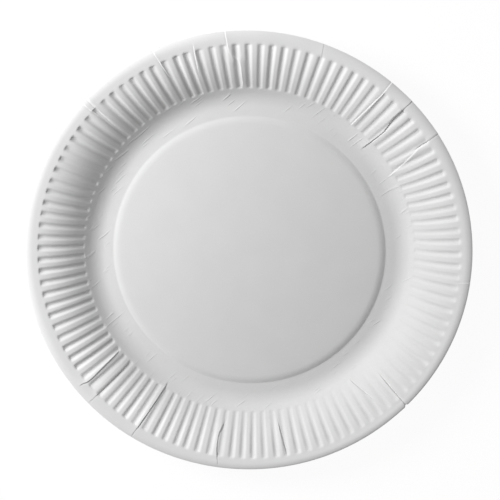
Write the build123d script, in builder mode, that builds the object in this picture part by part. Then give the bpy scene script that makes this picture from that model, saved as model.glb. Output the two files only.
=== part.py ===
"""A round paper plate, pressed from one disc of coated board.

The plate is one sheet of even thickness. From the middle outwards it has a raised, slightly domed
disc, a small step down to the flat ring that it stands on, a wall that curves up and out, a band
of pressed flutes along that wall, and a smooth lip that rolls over and down at the edge.

The frame has its origin under the plate's centre, on the plane that it stands on, with +Z up.
Sizes are in millimetres and angles in degrees.
"""

import os
from math import comb, cos, pi, radians, sin

import numpy as np
from build123d import *

# The sheet
board = 0.4
plate_radius = 115.0

# The raised middle: a shallow dome that ends in a step, soft at its top and tighter at its foot
disc_radius = 67.2
crown_slope = 1.3
step_slope = 28.0
step_top_radius = 8.0
step_foot_radius = 2.2

# The ring that the plate stands on, and the wall that rises from it and bends over to the lip
rest_outer_radius = 76.0
foot_radius = 14.0
wall_slope = 38.5
flute_start_radius = 85.7
flute_full_radius = 87.2
wall_outer_radius = 89.5
shoulder_end_slope = 13.8
lip_slope = 12.0
flute_end_radius = 109.0

# The lip: a short slope, a rounded crest, then a gentle roll down to the cut edge
lip_outer_radius = 111.0
crest_radius = 9.2
crest_end_slope = -6.0
edge_slope = -19.0

# The flutes: pockets pressed down into the wall, with closed ends
flutes = 111
first_flute = -0.85
flute_depth = 0.75
flute_squareness = 0.1

# Degrees of the flutes' surfaces, along the section and across one flute
degree_along = 5
degree_across = 12

pitch = 360 / flutes


def sine(slope):
    return sin(radians(slope))


def line_out(edge, radius):
    """A straight line that carries an edge of the section on, out to a radius."""
    reach = (radius - (edge @ 1).X) / (edge % 1).X
    return Line(edge @ 1, edge @ 1 + (edge % 1) * reach)


# Radii that make the arcs of the section meet at the stated places
crown_radius = disc_radius / sine(crown_slope)
shoulder_radius = (flute_end_radius - wall_outer_radius) / (sine(wall_slope) - sine(lip_slope))
crest_outer_radius = lip_outer_radius + crest_radius * (sine(lip_slope) - sine(crest_end_slope))
roll_radius = (plate_radius - crest_outer_radius) / (sine(crest_end_slope) - sine(edge_slope))

# How far the dome and its step drop, which puts the standing ring's underside at zero
step_drop = (
    step_top_radius * (cos(radians(crown_slope)) - cos(radians(step_slope)))
    + step_foot_radius * (1 - cos(radians(step_slope)))
)
crown_drop = crown_radius * (1 - cos(radians(crown_slope)))

# The underside of the pressed sheet, as one chain of arcs from the centre to the edge
with BuildLine() as underside:
    crown = JernArc((0, step_drop + crown_drop), (1, 0), crown_radius, -crown_slope)
    step_top = JernArc(crown @ 1, crown % 1, step_top_radius, crown_slope - step_slope)
    step_foot = JernArc(step_top @ 1, step_top % 1, step_foot_radius, step_slope)
    rest_ring = Line(step_foot @ 1, (rest_outer_radius, 0))
    foot = JernArc(rest_ring @ 1, (1, 0), foot_radius, wall_slope)
    wall = line_out(foot, flute_start_radius)
    flute_foot = line_out(wall, flute_full_radius)
    flute_wall = line_out(flute_foot, wall_outer_radius)
    shoulder = JernArc(flute_wall @ 1, wall % 1, shoulder_radius, shoulder_end_slope - wall_slope)
    flute_top = JernArc(shoulder @ 1, shoulder % 1, shoulder_radius, lip_slope - shoulder_end_slope)
    lip = line_out(flute_top, lip_outer_radius)
    crest = JernArc(lip @ 1, lip % 1, crest_radius, crest_end_slope - lip_slope)
    roll = JernArc(crest @ 1, crest % 1, roll_radius, edge_slope - crest_end_slope)


def plain_faces(edges):
    """The sheet over these edges, turned about the centre, without its end at the fluted band.

    That end is always the smallest of the faces.
    """
    with BuildPart() as ring:
        with BuildSketch(Plane.XZ):
            with BuildLine():
                add(edges)
                offset(amount=board, side=Side.LEFT, closed=True)
            make_face()
        revolve(axis=Axis.Z)
    return ring.faces().sort_by(SortBy.AREA)[1:]


def flute_wave(across):
    """How deep a flute is pressed, from 0 on its crests at across = -0.5 and 0.5 to 1 in its middle."""
    turn = 2 * pi * across
    swing = cos(turn) - flute_squareness * cos(3 * turn)
    return 0.5 + 0.5 * swing / (1 - flute_squareness)


def ramp(share):
    """A smooth rise from 0 to 1."""
    return share * share * (3 - 2 * share)


def sheet_point(edge, along, across, lift, depth):
    """A point of the fluted sheet: on a section edge, lifted off its underside and pressed in."""
    base = edge @ along
    run = edge % along
    shift = lift - depth * flute_wave(across)
    radius = base.X - run.Y * shift
    height = base.Y + run.X * shift
    turn = radians(across * pitch)
    return (radius * cos(turn), radius * sin(turn), height)


def bezier_nodes(degree):
    """Points from 0 to 1 that crowd towards both ends."""
    return [(1 - cos(pi * i / degree)) / 2 for i in range(degree + 1)]


def bezier_solver(degree):
    """The matrix that turns values at the nodes into the poles of a Bezier curve through them."""
    rows = [
        [comb(degree, j) * t**j * (1 - t) ** (degree - j) for j in range(degree + 1)]
        for t in bezier_nodes(degree)
    ]
    return np.linalg.inv(np.array(rows))


def flute_face(edge, lift, depth_at):
    """One flute's surface over one edge of the section, as a Bezier face through exact points."""
    points = np.array(
        [
            [
                sheet_point(edge, along, across - 0.5, lift, depth_at(along))
                for across in bezier_nodes(degree_across)
            ]
            for along in bezier_nodes(degree_along)
        ]
    )
    solve_along = bezier_solver(degree_along)
    solve_across = bezier_solver(degree_across)
    poles = np.einsum("ia,abk,jb->ijk", solve_along, points, solve_across)
    return Face.make_bezier_surface([[tuple(pole) for pole in row] for row in poles])


# One flute: a face for each stretch of the band, on both sides of the sheet
stretches = [
    (flute_foot, lambda along: flute_depth * ramp(along)),
    (flute_wall, lambda along: flute_depth),
    (shoulder, lambda along: flute_depth),
    (flute_top, lambda along: flute_depth * ramp(1 - along)),
]
one_flute = [flute_face(edge, lift, depth_at) for edge, depth_at in stretches for lift in (0, board)]
fluted_faces = [face.rotate(Axis.Z, first_flute + i * pitch) for i in range(flutes) for face in one_flute]


# The plate: the plain middle, the fluted band and the plain lip, sewn into one closed sheet
middle_faces = plain_faces([crown, step_top, step_foot, rest_ring, foot, wall])
lip_faces = plain_faces([lip, crest, roll])
with BuildPart() as plate:
    add(Solid(Shell(middle_faces + fluted_faces + lip_faces)))

plate.part.label = "plate"
os.makedirs("parts", exist_ok=True)
export_step(plate.part, "parts/plate.step")
print("plate height", round(plate.part.bounding_box().size.Z, 2), "volume", round(plate.part.volume))
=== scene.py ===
from math import radians

import bpy
import numpy as np
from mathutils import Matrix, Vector


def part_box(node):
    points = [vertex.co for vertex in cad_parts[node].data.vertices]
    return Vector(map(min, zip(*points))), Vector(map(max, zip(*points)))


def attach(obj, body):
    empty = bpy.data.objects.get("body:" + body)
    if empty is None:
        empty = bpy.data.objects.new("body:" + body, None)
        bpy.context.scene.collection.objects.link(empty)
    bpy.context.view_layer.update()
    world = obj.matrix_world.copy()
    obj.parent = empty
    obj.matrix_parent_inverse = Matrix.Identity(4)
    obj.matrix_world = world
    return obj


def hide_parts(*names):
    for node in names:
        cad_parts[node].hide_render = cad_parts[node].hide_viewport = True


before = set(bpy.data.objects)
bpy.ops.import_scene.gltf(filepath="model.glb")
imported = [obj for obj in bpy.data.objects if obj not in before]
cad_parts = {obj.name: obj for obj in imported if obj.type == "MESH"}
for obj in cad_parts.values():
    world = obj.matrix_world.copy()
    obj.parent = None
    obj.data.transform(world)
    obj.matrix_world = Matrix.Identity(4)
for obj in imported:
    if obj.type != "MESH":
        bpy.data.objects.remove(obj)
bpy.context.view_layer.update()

low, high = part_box("plate")


# ---- The pressed section ----
# The plate is one disc of coated board, squeezed between two heated dies. Its section is a chain of
# arcs: a slightly domed middle, a small step down to the ring it stands on, a wall, and a rolled lip.

MM = 0.001
BOARD = 0.4 * MM
PLATE_RADIUS = (high.x - low.x) / 2 - 0.3 * MM
DISC_RADIUS = 67.2 * MM
REST_OUTER_RADIUS = 76 * MM
FLUTE_START_RADIUS = 85.7 * MM
FLUTE_END_RADIUS = PLATE_RADIUS - 6 * MM


def arc(start, from_slope, to_slope, bend):
    """A stretch of the section: how far out and up it is, and its slope, at a share of its length."""
    def at(share):
        slope = from_slope + (to_slope - from_slope) * share
        out = start[0] + bend * (np.sin(slope) - np.sin(from_slope))
        up = start[1] - bend * (np.cos(slope) - np.cos(from_slope))
        return out, up, slope
    return at


def straight(start, slope, end_radius):
    """A straight stretch of the section, out to a radius."""
    def at(share):
        reach = (end_radius - start[0]) * share
        return start[0] + reach, start[1] + reach * np.tan(slope), slope
    return at


def bend_between(reach, from_slope, to_slope):
    """The bend radius of an arc that goes out by this reach between two slopes."""
    return reach / (np.sin(to_slope) - np.sin(from_slope))


CROWN, STEP, WALL = np.radians([-1.3, -28, 38.5])
SHOULDER, LIP, CREST, EDGE = np.radians([13.8, 12, -6, -19])
crown_bend = bend_between(DISC_RADIUS, 0, CROWN)
step_top_bend = -8 * MM
step_foot_bend = 2.2 * MM
foot_bend = 14 * MM
crest_bend = -9.2 * MM
step_drop = step_foot_bend * (1 - np.cos(STEP)) - step_top_bend * (np.cos(CROWN) - np.cos(STEP))
middle_height = low.z + step_drop - crown_bend * (1 - np.cos(CROWN))


def end(stretch):
    """Where a stretch of the section ends."""
    out, up, slope = stretch(1.0)
    return out, up


crown = arc((0, middle_height), 0, CROWN, crown_bend)
step_top = arc(end(crown), CROWN, STEP, step_top_bend)
step_foot = arc(end(step_top), STEP, 0, step_foot_bend)
rest_ring = straight(end(step_foot), 0, REST_OUTER_RADIUS)
foot = arc(end(rest_ring), 0, WALL, foot_bend)
wall = straight(end(foot), WALL, FLUTE_START_RADIUS)
flute_foot = straight(end(wall), WALL, 87.2 * MM)
flute_wall = straight(end(flute_foot), WALL, 89.5 * MM)
shoulder_bend = bend_between(FLUTE_END_RADIUS - end(flute_wall)[0], WALL, LIP)
shoulder = arc(end(flute_wall), WALL, SHOULDER, shoulder_bend)
flute_top = arc(end(shoulder), SHOULDER, LIP, shoulder_bend)
lip = straight(end(flute_top), LIP, FLUTE_END_RADIUS + 2 * MM)
crest = arc(end(lip), LIP, CREST, crest_bend)
roll = arc(end(crest), CREST, EDGE, bend_between(PLATE_RADIUS - end(crest)[0], CREST, EDGE))


# ---- The flutes ----
# The dies press a ring of narrow pockets down into the wall, closed at both ends. They take up the
# width that the flat disc loses as its wall is drawn up, and they stiffen the plate.

FLUTES = 111
FLUTE_DEPTH = 0.95 * MM
FIRST_FLUTE = np.radians(-0.85)
PITCH = 2 * np.pi / FLUTES
FLOOR_SHARE, SIDE_SHARE = 0.05, 0.29
INNER_RAMP, OUTER_RAMP, SOFT_RAMP = 1.1 * MM, 1.3 * MM, 1.4 * MM
DEEPENING_REACH = 17 * MM
DIE_CENTRE = (0.6 * MM, -0.7 * MM)
SOFT_SIDE = np.radians(322)

rng = np.random.default_rng(23)
flute_depths = FLUTE_DEPTH * (1 + 0.12 * rng.standard_normal(FLUTES).clip(-2, 2))
flute_shifts = 0.035 * rng.standard_normal(FLUTES).clip(-2, 2)


def smooth(share):
    """A smooth rise from 0 to 1."""
    share = np.clip(share, 0, 1)
    return share * share * (3 - 2 * share)


def flute_press(radius, turn):
    """How far the flutes press the board down. They are shallow at the wall's foot and on the soft side."""
    east, north = radius * np.cos(turn) - DIE_CENTRE[0], radius * np.sin(turn) - DIE_CENTRE[1]
    place = (np.arctan2(north, east) - FIRST_FLUTE) / PITCH
    flute = np.round(place).astype(int) % FLUTES
    across = np.abs(place - np.round(place) - flute_shifts[flute])
    wave = 1 - smooth((across - FLOOR_SHARE) / SIDE_SHARE)
    soft = ((1 + np.cos(turn - SOFT_SIDE)) / 2) ** 4
    uneven = (0.4 * np.cos(turn) + 0.15 * np.sin(turn) + 0.25 * np.sin(2 * turn)) * MM
    inner_end = smooth((radius - FLUTE_START_RADIUS) / INNER_RAMP)
    outer_end = smooth((FLUTE_END_RADIUS + uneven - radius) / (OUTER_RAMP + SOFT_RAMP * soft))
    outwards = smooth((radius - FLUTE_START_RADIUS) / DEEPENING_REACH)
    depth = (0.5 - 0.48 * soft) * (1 - outwards) + (0.78 - 0.2 * soft) * outwards
    return flute_depths[flute] * depth * wave * inner_end * outer_end


# ---- The creases ----
# Where the wall is drawn up, spare board also creases in sharp pleats, and the coating cracks in fine
# lines over the lip. Each is a path of angles in degrees and radii in millimetres, with its own fold.

def crease(*path, height, lap=3.0, groove=0.3, fade=2.0, lip=1.0):
    """A fold along a path from the lip inwards. Its upper layer lies clockwise if the height is negative."""
    angles, radii = np.array(path, float).T
    order = np.argsort(radii)
    return {"angles": np.radians(angles[order]), "radii": radii[order] * MM, "height": height * MM,
            "lap": lap * MM, "groove": groove, "fade": fade * MM, "lip": lip}


creases = [
    crease((134.7, 114.5), (135.0, 96.0), height=-0.35, lap=1.4, groove=0.5),
    crease((136.2, 114.5), (136.0, 103.0), height=-0.28, lap=1.2, groove=0.5),
    crease((113.9, 113.0), (112.9, 99.0), height=-0.28, lap=1.5, lip=0.7),
    crease((103.8, 110.0), (104.5, 97.0), height=-0.25, lap=1.5, lip=0.6),
    crease((95.3, 114.0), (94.9, 104.7), (91.9, 98.4), (91.7, 87.0), height=-0.36, lap=2.2, lip=0.5),
    crease((70.7, 115.0), (70.0, 107.0), height=0.09, lap=1.5),
    crease((51.4, 116.0), (51.3, 107.4), (52.3, 85.0), height=-0.34, lap=2.2, groove=0.5, lip=0.5),
    crease((44.6, 116.0), (44.7, 102.9), (43.4, 94.4), (43.5, 80.0), height=0.68, lap=3.0, lip=0.35),
    crease((34.3, 116.0), (33.9, 101.0), height=0.4, lap=2.5, lip=0.6),
    crease((33.7, 103.0), (29.7, 83.0), height=-0.35, lap=2.0, groove=0.5),
    crease((354.5, 115.0), (353.9, 106.9), height=-0.15, lap=1.5),
    crease((317.2, 116.0), (317.6, 101.2), (318.0, 93.7), height=-0.6, lap=2.5, groove=0.6, lip=0.5),
    crease((311.2, 98.3), (308.6, 85.8), height=-0.35, lap=2.0, groove=0.6),
    crease((281.2, 106.5), (280.1, 90.9), height=-0.38, lap=2.0),
    crease((262.0, 112.0), (261.2, 105.6), (260.9, 97.9), (262.3, 91.6), height=-0.4, lap=2.0, lip=0.3),
    crease((237.6, 113.0), (238.7, 83.6), height=-0.5, lap=2.5, lip=0.3),
    crease((218.2, 110.5), (218.8, 106.7), (217.8, 87.0), height=-0.55, lap=2.5, lip=0.4),
    crease((223.2, 113.0), (223.3, 87.0), height=-0.38, lap=2.2, lip=0.3),
]


def turn_of(fold, radius):
    """The fold's angle at each radius."""
    return np.interp(radius, fold["radii"], fold["angles"])


def crease_press(fold, radius, turn):
    """How far one fold lifts the board, at radii and angles."""
    away = (turn - turn_of(fold, radius) + np.pi) % (2 * np.pi) - np.pi
    side = np.sign(fold["height"])
    across = away * radius * side
    upper = np.exp(-np.clip(across, 0, None) / fold["lap"]) * smooth(across / (0.25 * MM) + 0.5)
    under = fold["groove"] * np.exp(-((across + 0.3 * MM) / (0.35 * MM)) ** 2)
    inner, outer = fold["radii"][0], fold["radii"][-1]
    along = smooth((radius - inner) / fold["fade"]) * smooth((outer - radius) / fold["fade"] + 1)
    flattened = 1 - (1 - fold["lip"]) * smooth((radius - FLUTE_END_RADIUS) / (2 * MM) + 0.5)
    return abs(fold["height"]) * (upper - under) * along * flattened


# ---- The sheet ----
# The sheet's two faces follow the section, the flutes and the creases together, so the board stays
# about as thick everywhere. The cut edge closes them. Rows run round it, from the middle out.

COLUMNS = 12 * FLUTES
GATHER = 0.8 * PITCH
ASKEW_RADIUS = 67 * MM
LOOSE_FROM_RADIUS, LOOSE_REACH = 80 * MM, 35 * MM
HELD_SIDE = np.radians(310)
NOTCH, NOTCH_WIDTH = np.radians(317.2), 0.006


def column_turns(radius, columns):
    """The angles of one row's points. They gather at the creases, where the board bends most."""
    turns = FIRST_FLUTE + PITCH / 2 + np.arange(columns) * 2 * np.pi / columns
    for fold in creases:
        away = (turns - turn_of(fold, radius) + np.pi) % (2 * np.pi) - np.pi
        near = np.abs(away) < GATHER
        share = np.abs(away[near]) / GATHER
        turns[near] -= away[near] * 0.75 * (1 - share ** 1.5)
    return turns


def warp(radius, up, turn):
    """The slow unevenness of a light plate: a step pressed harder on one side, and a loose wall and lip."""
    middle = np.minimum(radius / ASKEW_RADIUS, 1)
    askew = (up - low.z) * (0.28 * np.cos(turn - SOFT_SIDE) * middle - 0.26) * (radius < REST_OUTER_RADIUS)
    loose = smooth((radius - LOOSE_FROM_RADIUS) / LOOSE_REACH)
    waves = 0.09 * np.sin(2 * turn + 0.7) + 0.05 * np.sin(3 * turn + 2.1) + 0.04 * np.sin(7 * turn + 4.0)
    return askew + waves * MM * loose


def curl(out, turn):
    """How far the lip is curled in at its edge: most along the side where it was held, and at the notch."""
    share = np.clip((out - FLUTE_END_RADIUS) / (PLATE_RADIUS - FLUTE_END_RADIUS), 0, 1)
    side = np.clip(np.cos(turn - HELD_SIDE), 0, 1)
    notch = np.exp(-(((turn - NOTCH + np.pi) % (2 * np.pi) - np.pi) / NOTCH_WIDTH) ** 2)
    return (1.2 * side ** 2 + 0.5 * side + 0.8 * notch) * MM * share


def sheet_row(out, up, slope, columns, lift):
    """One row of points of the sheet, lifted off the underside of the board along its normal."""
    turn = column_turns(out, columns)
    raised = lift - flute_press(out, turn) + warp(out, up, turn)
    for fold in creases:
        raised += crease_press(fold, out, turn)
    radius = out - np.sin(slope) * raised - curl(out, turn)
    height = up + np.cos(slope) * raised
    return np.stack([radius * np.cos(turn), radius * np.sin(turn), height], axis=1)


# Each row of points: the stretch of the section, the shares of it where rows lie, and the points in one
TOP_ROWS = [
    (crown, [0.04], 37),
    (crown, [0.12, 0.24], 111),
    (crown, [0.38, 0.52, 0.66, 0.78, 0.88, 0.95], 333),
    (step_top, np.arange(0, 5) / 5, 666),
    (step_foot, np.arange(0, 5) / 5, 666),
    (rest_ring, np.arange(0, 4) / 4, 666),
    (foot, np.arange(0, 8) / 8, 666),
    (wall, [0.4], 666),
    (flute_foot, np.arange(0, 6) / 6, COLUMNS),
    (flute_wall, [0, 0.5], COLUMNS),
    (shoulder, np.arange(0, 9) / 9, COLUMNS),
    (flute_top, np.arange(0, 5) / 5, COLUMNS),
    (lip, [0.2, 0.7], COLUMNS),
    (crest, np.arange(0, 4) / 4, COLUMNS),
    (roll, np.arange(0, 5) / 4, COLUMNS),
]
UNDER_ROWS = [
    (crown, [0.06], 37),
    (crown, [0.3], 111),
    (crown, [0.6, 0.9], 333),
    (step_top, np.arange(0, 3) / 3, 666),
    (step_foot, np.arange(0, 3) / 3, 666),
    (rest_ring, np.arange(0, 2) / 2, 666),
    (foot, np.arange(0, 5) / 5, 666),
    (flute_foot, [0, 0.35, 0.7], COLUMNS),
    (flute_wall, [0.3], COLUMNS),
    (shoulder, np.arange(0, 4) / 4, COLUMNS),
    (flute_top, np.arange(0, 3) / 3, COLUMNS),
    (lip, [0.5], COLUMNS),
    (crest, [0, 0.5], COLUMNS),
    (roll, [0, 0.5, 1], COLUMNS),
]


def lay_rows(rows, lift):
    """The rows of one side of the sheet."""
    return [sheet_row(*stretch(share), columns, lift)
            for stretch, shares, columns in rows for share in shares]


def join_rows(inner, outer):
    """The faces between two rows, where the outer one has as many points, or two or three times more."""
    many, few = len(outer), len(inner)
    step = many // few
    faces = []
    for i in range(few):
        fine = [outer[(i * step + k) % many] for k in range(step + 1)]
        faces.append([inner[i], *fine, inner[(i + 1) % few]])
    return faces


def make_side(rows, first, lift):
    """One side's points, faces and outermost row, with its own point in the middle."""
    middle = middle_height + warp(0.0, middle_height, 0.0) + lift
    points = np.vstack([[[0, 0, middle]], *rows])
    numbers = []
    count = first + 1
    for row in rows:
        numbers.append(list(range(count, count + len(row))))
        count += len(row)
    faces = [[first, a, b] for a, b in zip(numbers[0], numbers[0][1:] + numbers[0][:1])]
    for inner, outer in zip(numbers, numbers[1:]):
        faces += join_rows(inner, outer)
    return points, faces, numbers[-1]


top_points, top_faces, top_edge = make_side(lay_rows(TOP_ROWS, BOARD), 0, BOARD)
under_points, under_faces, under_edge = make_side(lay_rows(UNDER_ROWS, 0), len(top_points), 0)
under_faces = [face[::-1] for face in under_faces]
edge_faces = [[a, b, c, d] for a, b, c, d in zip(
    top_edge, under_edge, under_edge[1:] + under_edge[:1], top_edge[1:] + top_edge[:1])]

sheet = bpy.data.meshes.new("pressed_sheet")
sheet.from_pydata(np.vstack([top_points, under_points]).tolist(), [], top_faces + under_faces + edge_faces)
plate = bpy.data.objects.new("pressed_plate", sheet)
bpy.context.scene.collection.objects.link(plate)
sheet.shade_smooth()
sheet.set_sharp_from_angle(angle=radians(50))
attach(plate, "root")
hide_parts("plate")


# ---- The board ----
# White board, made from fibre and coated for food: it is smooth and faintly glossy, with a fine
# fibrous grain under the coating. Its cut edge is bare fibre, a little darker and quite matt.

def new_node(nodes, kind, place, **settings):
    """A node of one kind, at a place in its editor, with its settings."""
    node = nodes.new(kind)
    node.location = place
    for name, value in settings.items():
        setattr(node, name, value)
    return node


def make_fibre_group():
    """Fibre grain: a mask of slow cloudiness, a mask of fine fibre, and the bumpy normal they make."""
    group = bpy.data.node_groups.new("Fibre grain", "ShaderNodeTree")
    face = group.interface
    for name, value in (("Cloud scale", 60.0), ("Fibre scale", 900.0), ("Bump", 0.1)):
        socket = face.new_socket(name, in_out="INPUT", socket_type="NodeSocketFloat")
        socket.default_value = value
    for name, kind in (("Cloud", "Float"), ("Fibre", "Float"), ("Normal", "Vector")):
        face.new_socket(name, in_out="OUTPUT", socket_type=f"NodeSocket{kind}")
    nodes, links = group.nodes, group.links
    inputs = new_node(nodes, "NodeGroupInput", (-900, 0))
    outputs = new_node(nodes, "NodeGroupOutput", (500, 0))
    place = new_node(nodes, "ShaderNodeTexCoord", (-900, -300))
    cloud = new_node(nodes, "ShaderNodeTexNoise", (-600, 200))
    cloud.inputs["Detail"].default_value = 4
    fibre = new_node(nodes, "ShaderNodeTexNoise", (-600, -100))
    fibre.inputs["Detail"].default_value = 6
    fibre.inputs["Distortion"].default_value = 1.2
    both = new_node(nodes, "ShaderNodeMath", (-300, 0), operation="MULTIPLY_ADD")
    both.inputs[1].default_value = 0.35
    bump = new_node(nodes, "ShaderNodeBump", (0, -100))
    bump.inputs["Distance"].default_value = 0.2 * MM
    for noise, scale in ((cloud, "Cloud scale"), (fibre, "Fibre scale")):
        links.new(place.outputs["Object"], noise.inputs["Vector"])
        links.new(inputs.outputs[scale], noise.inputs["Scale"])
    links.new(fibre.outputs["Fac"], both.inputs[0])
    links.new(cloud.outputs["Fac"], both.inputs[2])
    links.new(both.outputs[0], bump.inputs["Height"])
    links.new(inputs.outputs["Bump"], bump.inputs["Strength"])
    links.new(cloud.outputs["Fac"], outputs.inputs["Cloud"])
    links.new(fibre.outputs["Fac"], outputs.inputs["Fibre"])
    links.new(bump.outputs["Normal"], outputs.inputs["Normal"])
    return group


def make_wrinkle_group():
    """Fine wrinkles: the distance from the plate's middle, and a normal with a few short strokes.

    The strokes lie along the board's grain, between the disc and the flutes.
    """
    group = bpy.data.node_groups.new("Fine wrinkles", "ShaderNodeTree")
    face = group.interface
    depth = face.new_socket("Depth", in_out="INPUT", socket_type="NodeSocketFloat")
    depth.default_value = 0.5
    face.new_socket("Normal", in_out="INPUT", socket_type="NodeSocketVector")
    for name, kind in (("Radius", "Float"), ("Normal", "Vector")):
        face.new_socket(name, in_out="OUTPUT", socket_type=f"NodeSocket{kind}")
    nodes, links = group.nodes, group.links
    inputs = new_node(nodes, "NodeGroupInput", (-1300, 0))
    outputs = new_node(nodes, "NodeGroupOutput", (700, 0))
    place = new_node(nodes, "ShaderNodeTexCoord", (-1300, -300))
    flat_place = new_node(nodes, "ShaderNodeVectorMath", (-1100, 300), operation="MULTIPLY")
    flat_place.inputs[1].default_value = (1, 1, 0)
    radius = new_node(nodes, "ShaderNodeVectorMath", (-900, 300), operation="LENGTH")
    along_grain = new_node(nodes, "ShaderNodeMapping", (-900, -300), vector_type="TEXTURE")
    along_grain.inputs["Rotation"].default_value = (0, 0, radians(39))
    along_grain.inputs["Scale"].default_value = (12 * MM, 1.1 * MM, 10 * MM)
    streaks = new_node(nodes, "ShaderNodeTexNoise", (-700, -300))
    streaks.inputs["Scale"].default_value = 1.0
    streaks.inputs["Detail"].default_value = 0.0
    strokes = new_node(nodes, "ShaderNodeMapRange", (-500, -300), interpolation_type="SMOOTHSTEP")
    strokes.inputs["From Min"].default_value = 0.69
    strokes.inputs["From Max"].default_value = 0.83
    past_disc = new_node(nodes, "ShaderNodeMapRange", (-500, 300), interpolation_type="SMOOTHSTEP")
    past_disc.inputs["From Min"].default_value = end(step_foot)[0]
    past_disc.inputs["From Max"].default_value = REST_OUTER_RADIUS
    before_flutes = new_node(nodes, "ShaderNodeMapRange", (-500, 0), interpolation_type="SMOOTHSTEP")
    before_flutes.inputs["From Min"].default_value = FLUTE_START_RADIUS - 2 * MM
    before_flutes.inputs["From Max"].default_value = FLUTE_START_RADIUS + 1 * MM
    before_flutes.inputs["To Min"].default_value = 1.0
    before_flutes.inputs["To Max"].default_value = 0.0
    ring = new_node(nodes, "ShaderNodeMath", (-250, 100), operation="MULTIPLY")
    height = new_node(nodes, "ShaderNodeMath", (-50, -200), operation="MULTIPLY")
    bump = new_node(nodes, "ShaderNodeBump", (300, -100))
    bump.inputs["Distance"].default_value = 0.3 * MM
    links.new(place.outputs["Object"], flat_place.inputs[0])
    links.new(flat_place.outputs[0], radius.inputs[0])
    links.new(place.outputs["Object"], along_grain.inputs["Vector"])
    links.new(along_grain.outputs["Vector"], streaks.inputs["Vector"])
    links.new(streaks.outputs["Fac"], strokes.inputs["Value"])
    links.new(radius.outputs["Value"], past_disc.inputs["Value"])
    links.new(radius.outputs["Value"], before_flutes.inputs["Value"])
    links.new(past_disc.outputs["Result"], ring.inputs[0])
    links.new(before_flutes.outputs["Result"], ring.inputs[1])
    links.new(strokes.outputs["Result"], height.inputs[0])
    links.new(ring.outputs[0], height.inputs[1])
    links.new(height.outputs[0], bump.inputs["Height"])
    links.new(inputs.outputs["Depth"], bump.inputs["Strength"])
    links.new(inputs.outputs["Normal"], bump.inputs["Normal"])
    links.new(radius.outputs["Value"], outputs.inputs["Radius"])
    links.new(bump.outputs["Normal"], outputs.inputs["Normal"])
    return group


fibre_grain = make_fibre_group()
fine_wrinkles = make_wrinkle_group()


def make_board(name, shade, mottle, painted_rim_light, roughness, bump, fibre_scale, specular, wrinkling):
    """A board finish: its shade and roughness vary with the grain, and painted light lightens it from the
    flutes out.
    """
    material = bpy.data.materials.new(name)
    material.use_nodes = True
    nodes, links = material.node_tree.nodes, material.node_tree.links
    surface = nodes["Principled BSDF"]
    grain = new_node(nodes, "ShaderNodeGroup", (-900, 0), node_tree=fibre_grain)
    grain.inputs["Fibre scale"].default_value = fibre_scale
    grain.inputs["Bump"].default_value = bump
    colours = new_node(nodes, "ShaderNodeValToRGB", (-600, 200))
    dark, light = colours.color_ramp.elements
    dark.position, light.position = 0.3, 0.7
    dark.color = tuple(channel * (1 - mottle) for channel in shade) + (1,)
    light.color = tuple(channel * (1 + mottle) for channel in shade) + (1,)
    sheen = new_node(nodes, "ShaderNodeMapRange", (-600, -100))
    sheen.inputs["From Min"].default_value = 0.3
    sheen.inputs["From Max"].default_value = 0.7
    sheen.inputs["To Min"].default_value = roughness - 0.05
    sheen.inputs["To Max"].default_value = roughness + 0.05
    wrinkles = new_node(nodes, "ShaderNodeGroup", (-900, 500), node_tree=fine_wrinkles)
    wrinkles.inputs["Depth"].default_value = wrinkling
    # Painted light: the colour is lightened from the start of the flutes out to the lip, to brighten the
    # wall and lip.
    rim_light_ramp = new_node(nodes, "ShaderNodeMapRange", (-600, 500), interpolation_type="SMOOTHSTEP")
    rim_light_ramp.inputs["From Min"].default_value = FLUTE_START_RADIUS
    rim_light_ramp.inputs["From Max"].default_value = FLUTE_END_RADIUS
    rim_light_ramp.inputs["To Min"].default_value = 1.0
    rim_light_ramp.inputs["To Max"].default_value = 1 + painted_rim_light
    tinted = new_node(nodes, "ShaderNodeVectorMath", (-300, 300), operation="SCALE")
    links.new(wrinkles.outputs["Radius"], rim_light_ramp.inputs["Value"])
    links.new(colours.outputs["Color"], tinted.inputs[0])
    links.new(rim_light_ramp.outputs["Result"], tinted.inputs["Scale"])
    links.new(grain.outputs["Cloud"], colours.inputs["Fac"])
    links.new(grain.outputs["Fibre"], sheen.inputs["Value"])
    links.new(tinted.outputs["Vector"], surface.inputs["Base Color"])
    links.new(sheen.outputs["Result"], surface.inputs["Roughness"])
    links.new(grain.outputs["Normal"], wrinkles.inputs["Normal"])
    links.new(wrinkles.outputs["Normal"], surface.inputs["Normal"])
    surface.inputs["Specular IOR Level"].default_value = specular
    return material


# The coated board carries painted light: its colour is 13% lighter over the wall and lip.
coated_board = make_board(
    "Coated board", shade=(0.785, 0.785, 0.785), mottle=0.012, painted_rim_light=0.13, roughness=0.55,
    bump=0.06, fibre_scale=900, specular=0.12, wrinkling=0.5)
cut_edge = make_board(
    "Cut edge", shade=(0.66, 0.65, 0.63), mottle=0.05, painted_rim_light=0.0, roughness=0.8,
    bump=0.4, fibre_scale=1500, specular=0.2, wrinkling=0.0)
sheet.materials.append(coated_board)
sheet.materials.append(cut_edge)
edge_start = len(top_faces) + len(under_faces)
for number in range(edge_start, len(sheet.polygons)):
    sheet.polygons[number].material_index = 1


# ---- The table ----
# A plain white surface just under the plate, near white to the camera, with the plate's shadow on it.
# From below it is clear, and a round hole under the disc, which the standing ring covers, lets light
# up to the underside.

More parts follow.
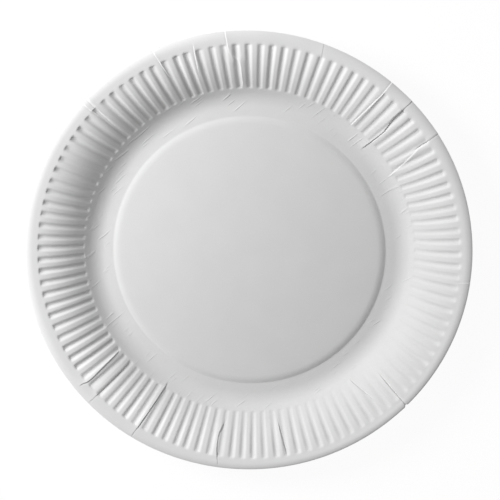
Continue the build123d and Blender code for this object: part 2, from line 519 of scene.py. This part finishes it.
HOLE_RADIUS, TABLE_RADIUS, TABLE_SIDES = 74 * MM, 3.0, 120
TABLE_TOP = low.z - 0.1 * MM
table_turns = [2 * np.pi * i / TABLE_SIDES for i in range(TABLE_SIDES)]
table_points = [(radius * np.cos(turn), radius * np.sin(turn), TABLE_TOP)
                for radius in (HOLE_RADIUS, TABLE_RADIUS) for turn in table_turns]
table_faces = [(i, i + TABLE_SIDES, (i + 1) % TABLE_SIDES + TABLE_SIDES, (i + 1) % TABLE_SIDES)
               for i in range(TABLE_SIDES)]
table_mesh = bpy.data.meshes.new("table")
table_mesh.from_pydata(table_points, [], table_faces)
table = bpy.data.objects.new("table", table_mesh)
bpy.context.scene.collection.objects.link(table)
white = bpy.data.materials.new("White table")
white.use_nodes = True
nodes, links = white.node_tree.nodes, white.node_tree.links
lit = nodes["Principled BSDF"]
lit.inputs["Base Color"].default_value = (0.8, 0.8, 0.8, 1)
lit.inputs["Roughness"].default_value = 0.9
glow = new_node(nodes, "ShaderNodeEmission", (0, -300))
glow.inputs["Strength"].default_value = 1.05
seen = new_node(nodes, "ShaderNodeLightPath", (-400, 300))
share = new_node(nodes, "ShaderNodeMath", (-100, 300), operation="MULTIPLY")
share.inputs[1].default_value = 0.9
mixed = new_node(nodes, "ShaderNodeMixShader", (200, 100))
links.new(seen.outputs["Is Camera Ray"], share.inputs[0])
links.new(share.outputs[0], mixed.inputs[0])
links.new(lit.outputs[0], mixed.inputs[1])
links.new(glow.outputs[0], mixed.inputs[2])
clear = new_node(nodes, "ShaderNodeBsdfTransparent", (200, -200))
below = new_node(nodes, "ShaderNodeNewGeometry", (200, 400))
both_sides = new_node(nodes, "ShaderNodeMixShader", (450, 100))
links.new(below.outputs["Backfacing"], both_sides.inputs[0])
links.new(mixed.outputs[0], both_sides.inputs[1])
links.new(clear.outputs[0], both_sides.inputs[2])
links.new(both_sides.outputs[0], nodes["Material Output"].inputs["Surface"])
table_mesh.materials.append(white)


# ---- Light ----
# One soft lamp stands close by, past the plate's far left side, so its light fades across the dish.
# A pale room lights the rest, and the camera sees that room as white.

def aim(thing, target):
    """Turn a lamp to face a point."""
    thing.rotation_euler = (Vector(target) - thing.location).to_track_quat("-Z", "Y").to_euler()


lamp_data = bpy.data.lights.new("Window lamp", "AREA")
lamp_data.shape = "DISK"
lamp_data.size = 0.28
lamp_data.energy = 3.68
lamp = bpy.data.objects.new("Window lamp", lamp_data)
bpy.context.scene.collection.objects.link(lamp)
lamp_turn, lamp_rise, lamp_distance = radians(152), radians(34), 0.60
lamp.location = (
    lamp_distance * np.cos(lamp_rise) * np.cos(lamp_turn),
    lamp_distance * np.cos(lamp_rise) * np.sin(lamp_turn),
    lamp_distance * np.sin(lamp_rise),
)
aim(lamp, (0, 0, 0))

world = bpy.data.worlds.new("Pale room")
bpy.context.scene.world = world
world.use_nodes = True
nodes, links = world.node_tree.nodes, world.node_tree.links
room = nodes["Background"]
room.inputs["Color"].default_value = (1, 1, 1, 1)
room.inputs["Strength"].default_value = 0.225
backdrop = new_node(nodes, "ShaderNodeBackground", (0, -200))
backdrop.inputs["Color"].default_value = (1, 1, 1, 1)
path = new_node(nodes, "ShaderNodeLightPath", (-400, 300))
choice = new_node(nodes, "ShaderNodeMixShader", (300, 100))
links.new(path.outputs["Is Camera Ray"], choice.inputs[0])
links.new(room.outputs[0], choice.inputs[1])
links.new(backdrop.outputs[0], choice.inputs[2])
links.new(choice.outputs[0], nodes["World Output"].inputs["Surface"])


# ---- Camera ----
# It looks down into the dish from a little beyond the plate's far side, and it is turned so that the
# plate's +Y points up.

camera_data = bpy.data.cameras.new("Camera")
camera_data.sensor_width = 36
camera_data.lens = 89.56
camera = bpy.data.objects.new("Camera", camera_data)
bpy.context.scene.collection.objects.link(camera)
bpy.context.scene.camera = camera
tilt, side, distance = radians(12.17), radians(15.9), 0.651
looked_at = Vector((0.00071, 0.00126, 0))
camera.location = looked_at + distance * Vector((
    np.sin(tilt) * np.sin(side),
    np.sin(tilt) * np.cos(side),
    np.cos(tilt),
))
forward = (looked_at - camera.location).normalized()
across = forward.cross(Vector((0, 1, 0))).normalized()
upward = across.cross(forward)
turned = camera.rotation_euler.to_matrix()
for axis, column in enumerate((across, upward, -forward)):
    turned.col[axis] = column
camera.rotation_euler = turned.to_euler()

bpy.context.scene.view_settings.view_transform = "Standard"
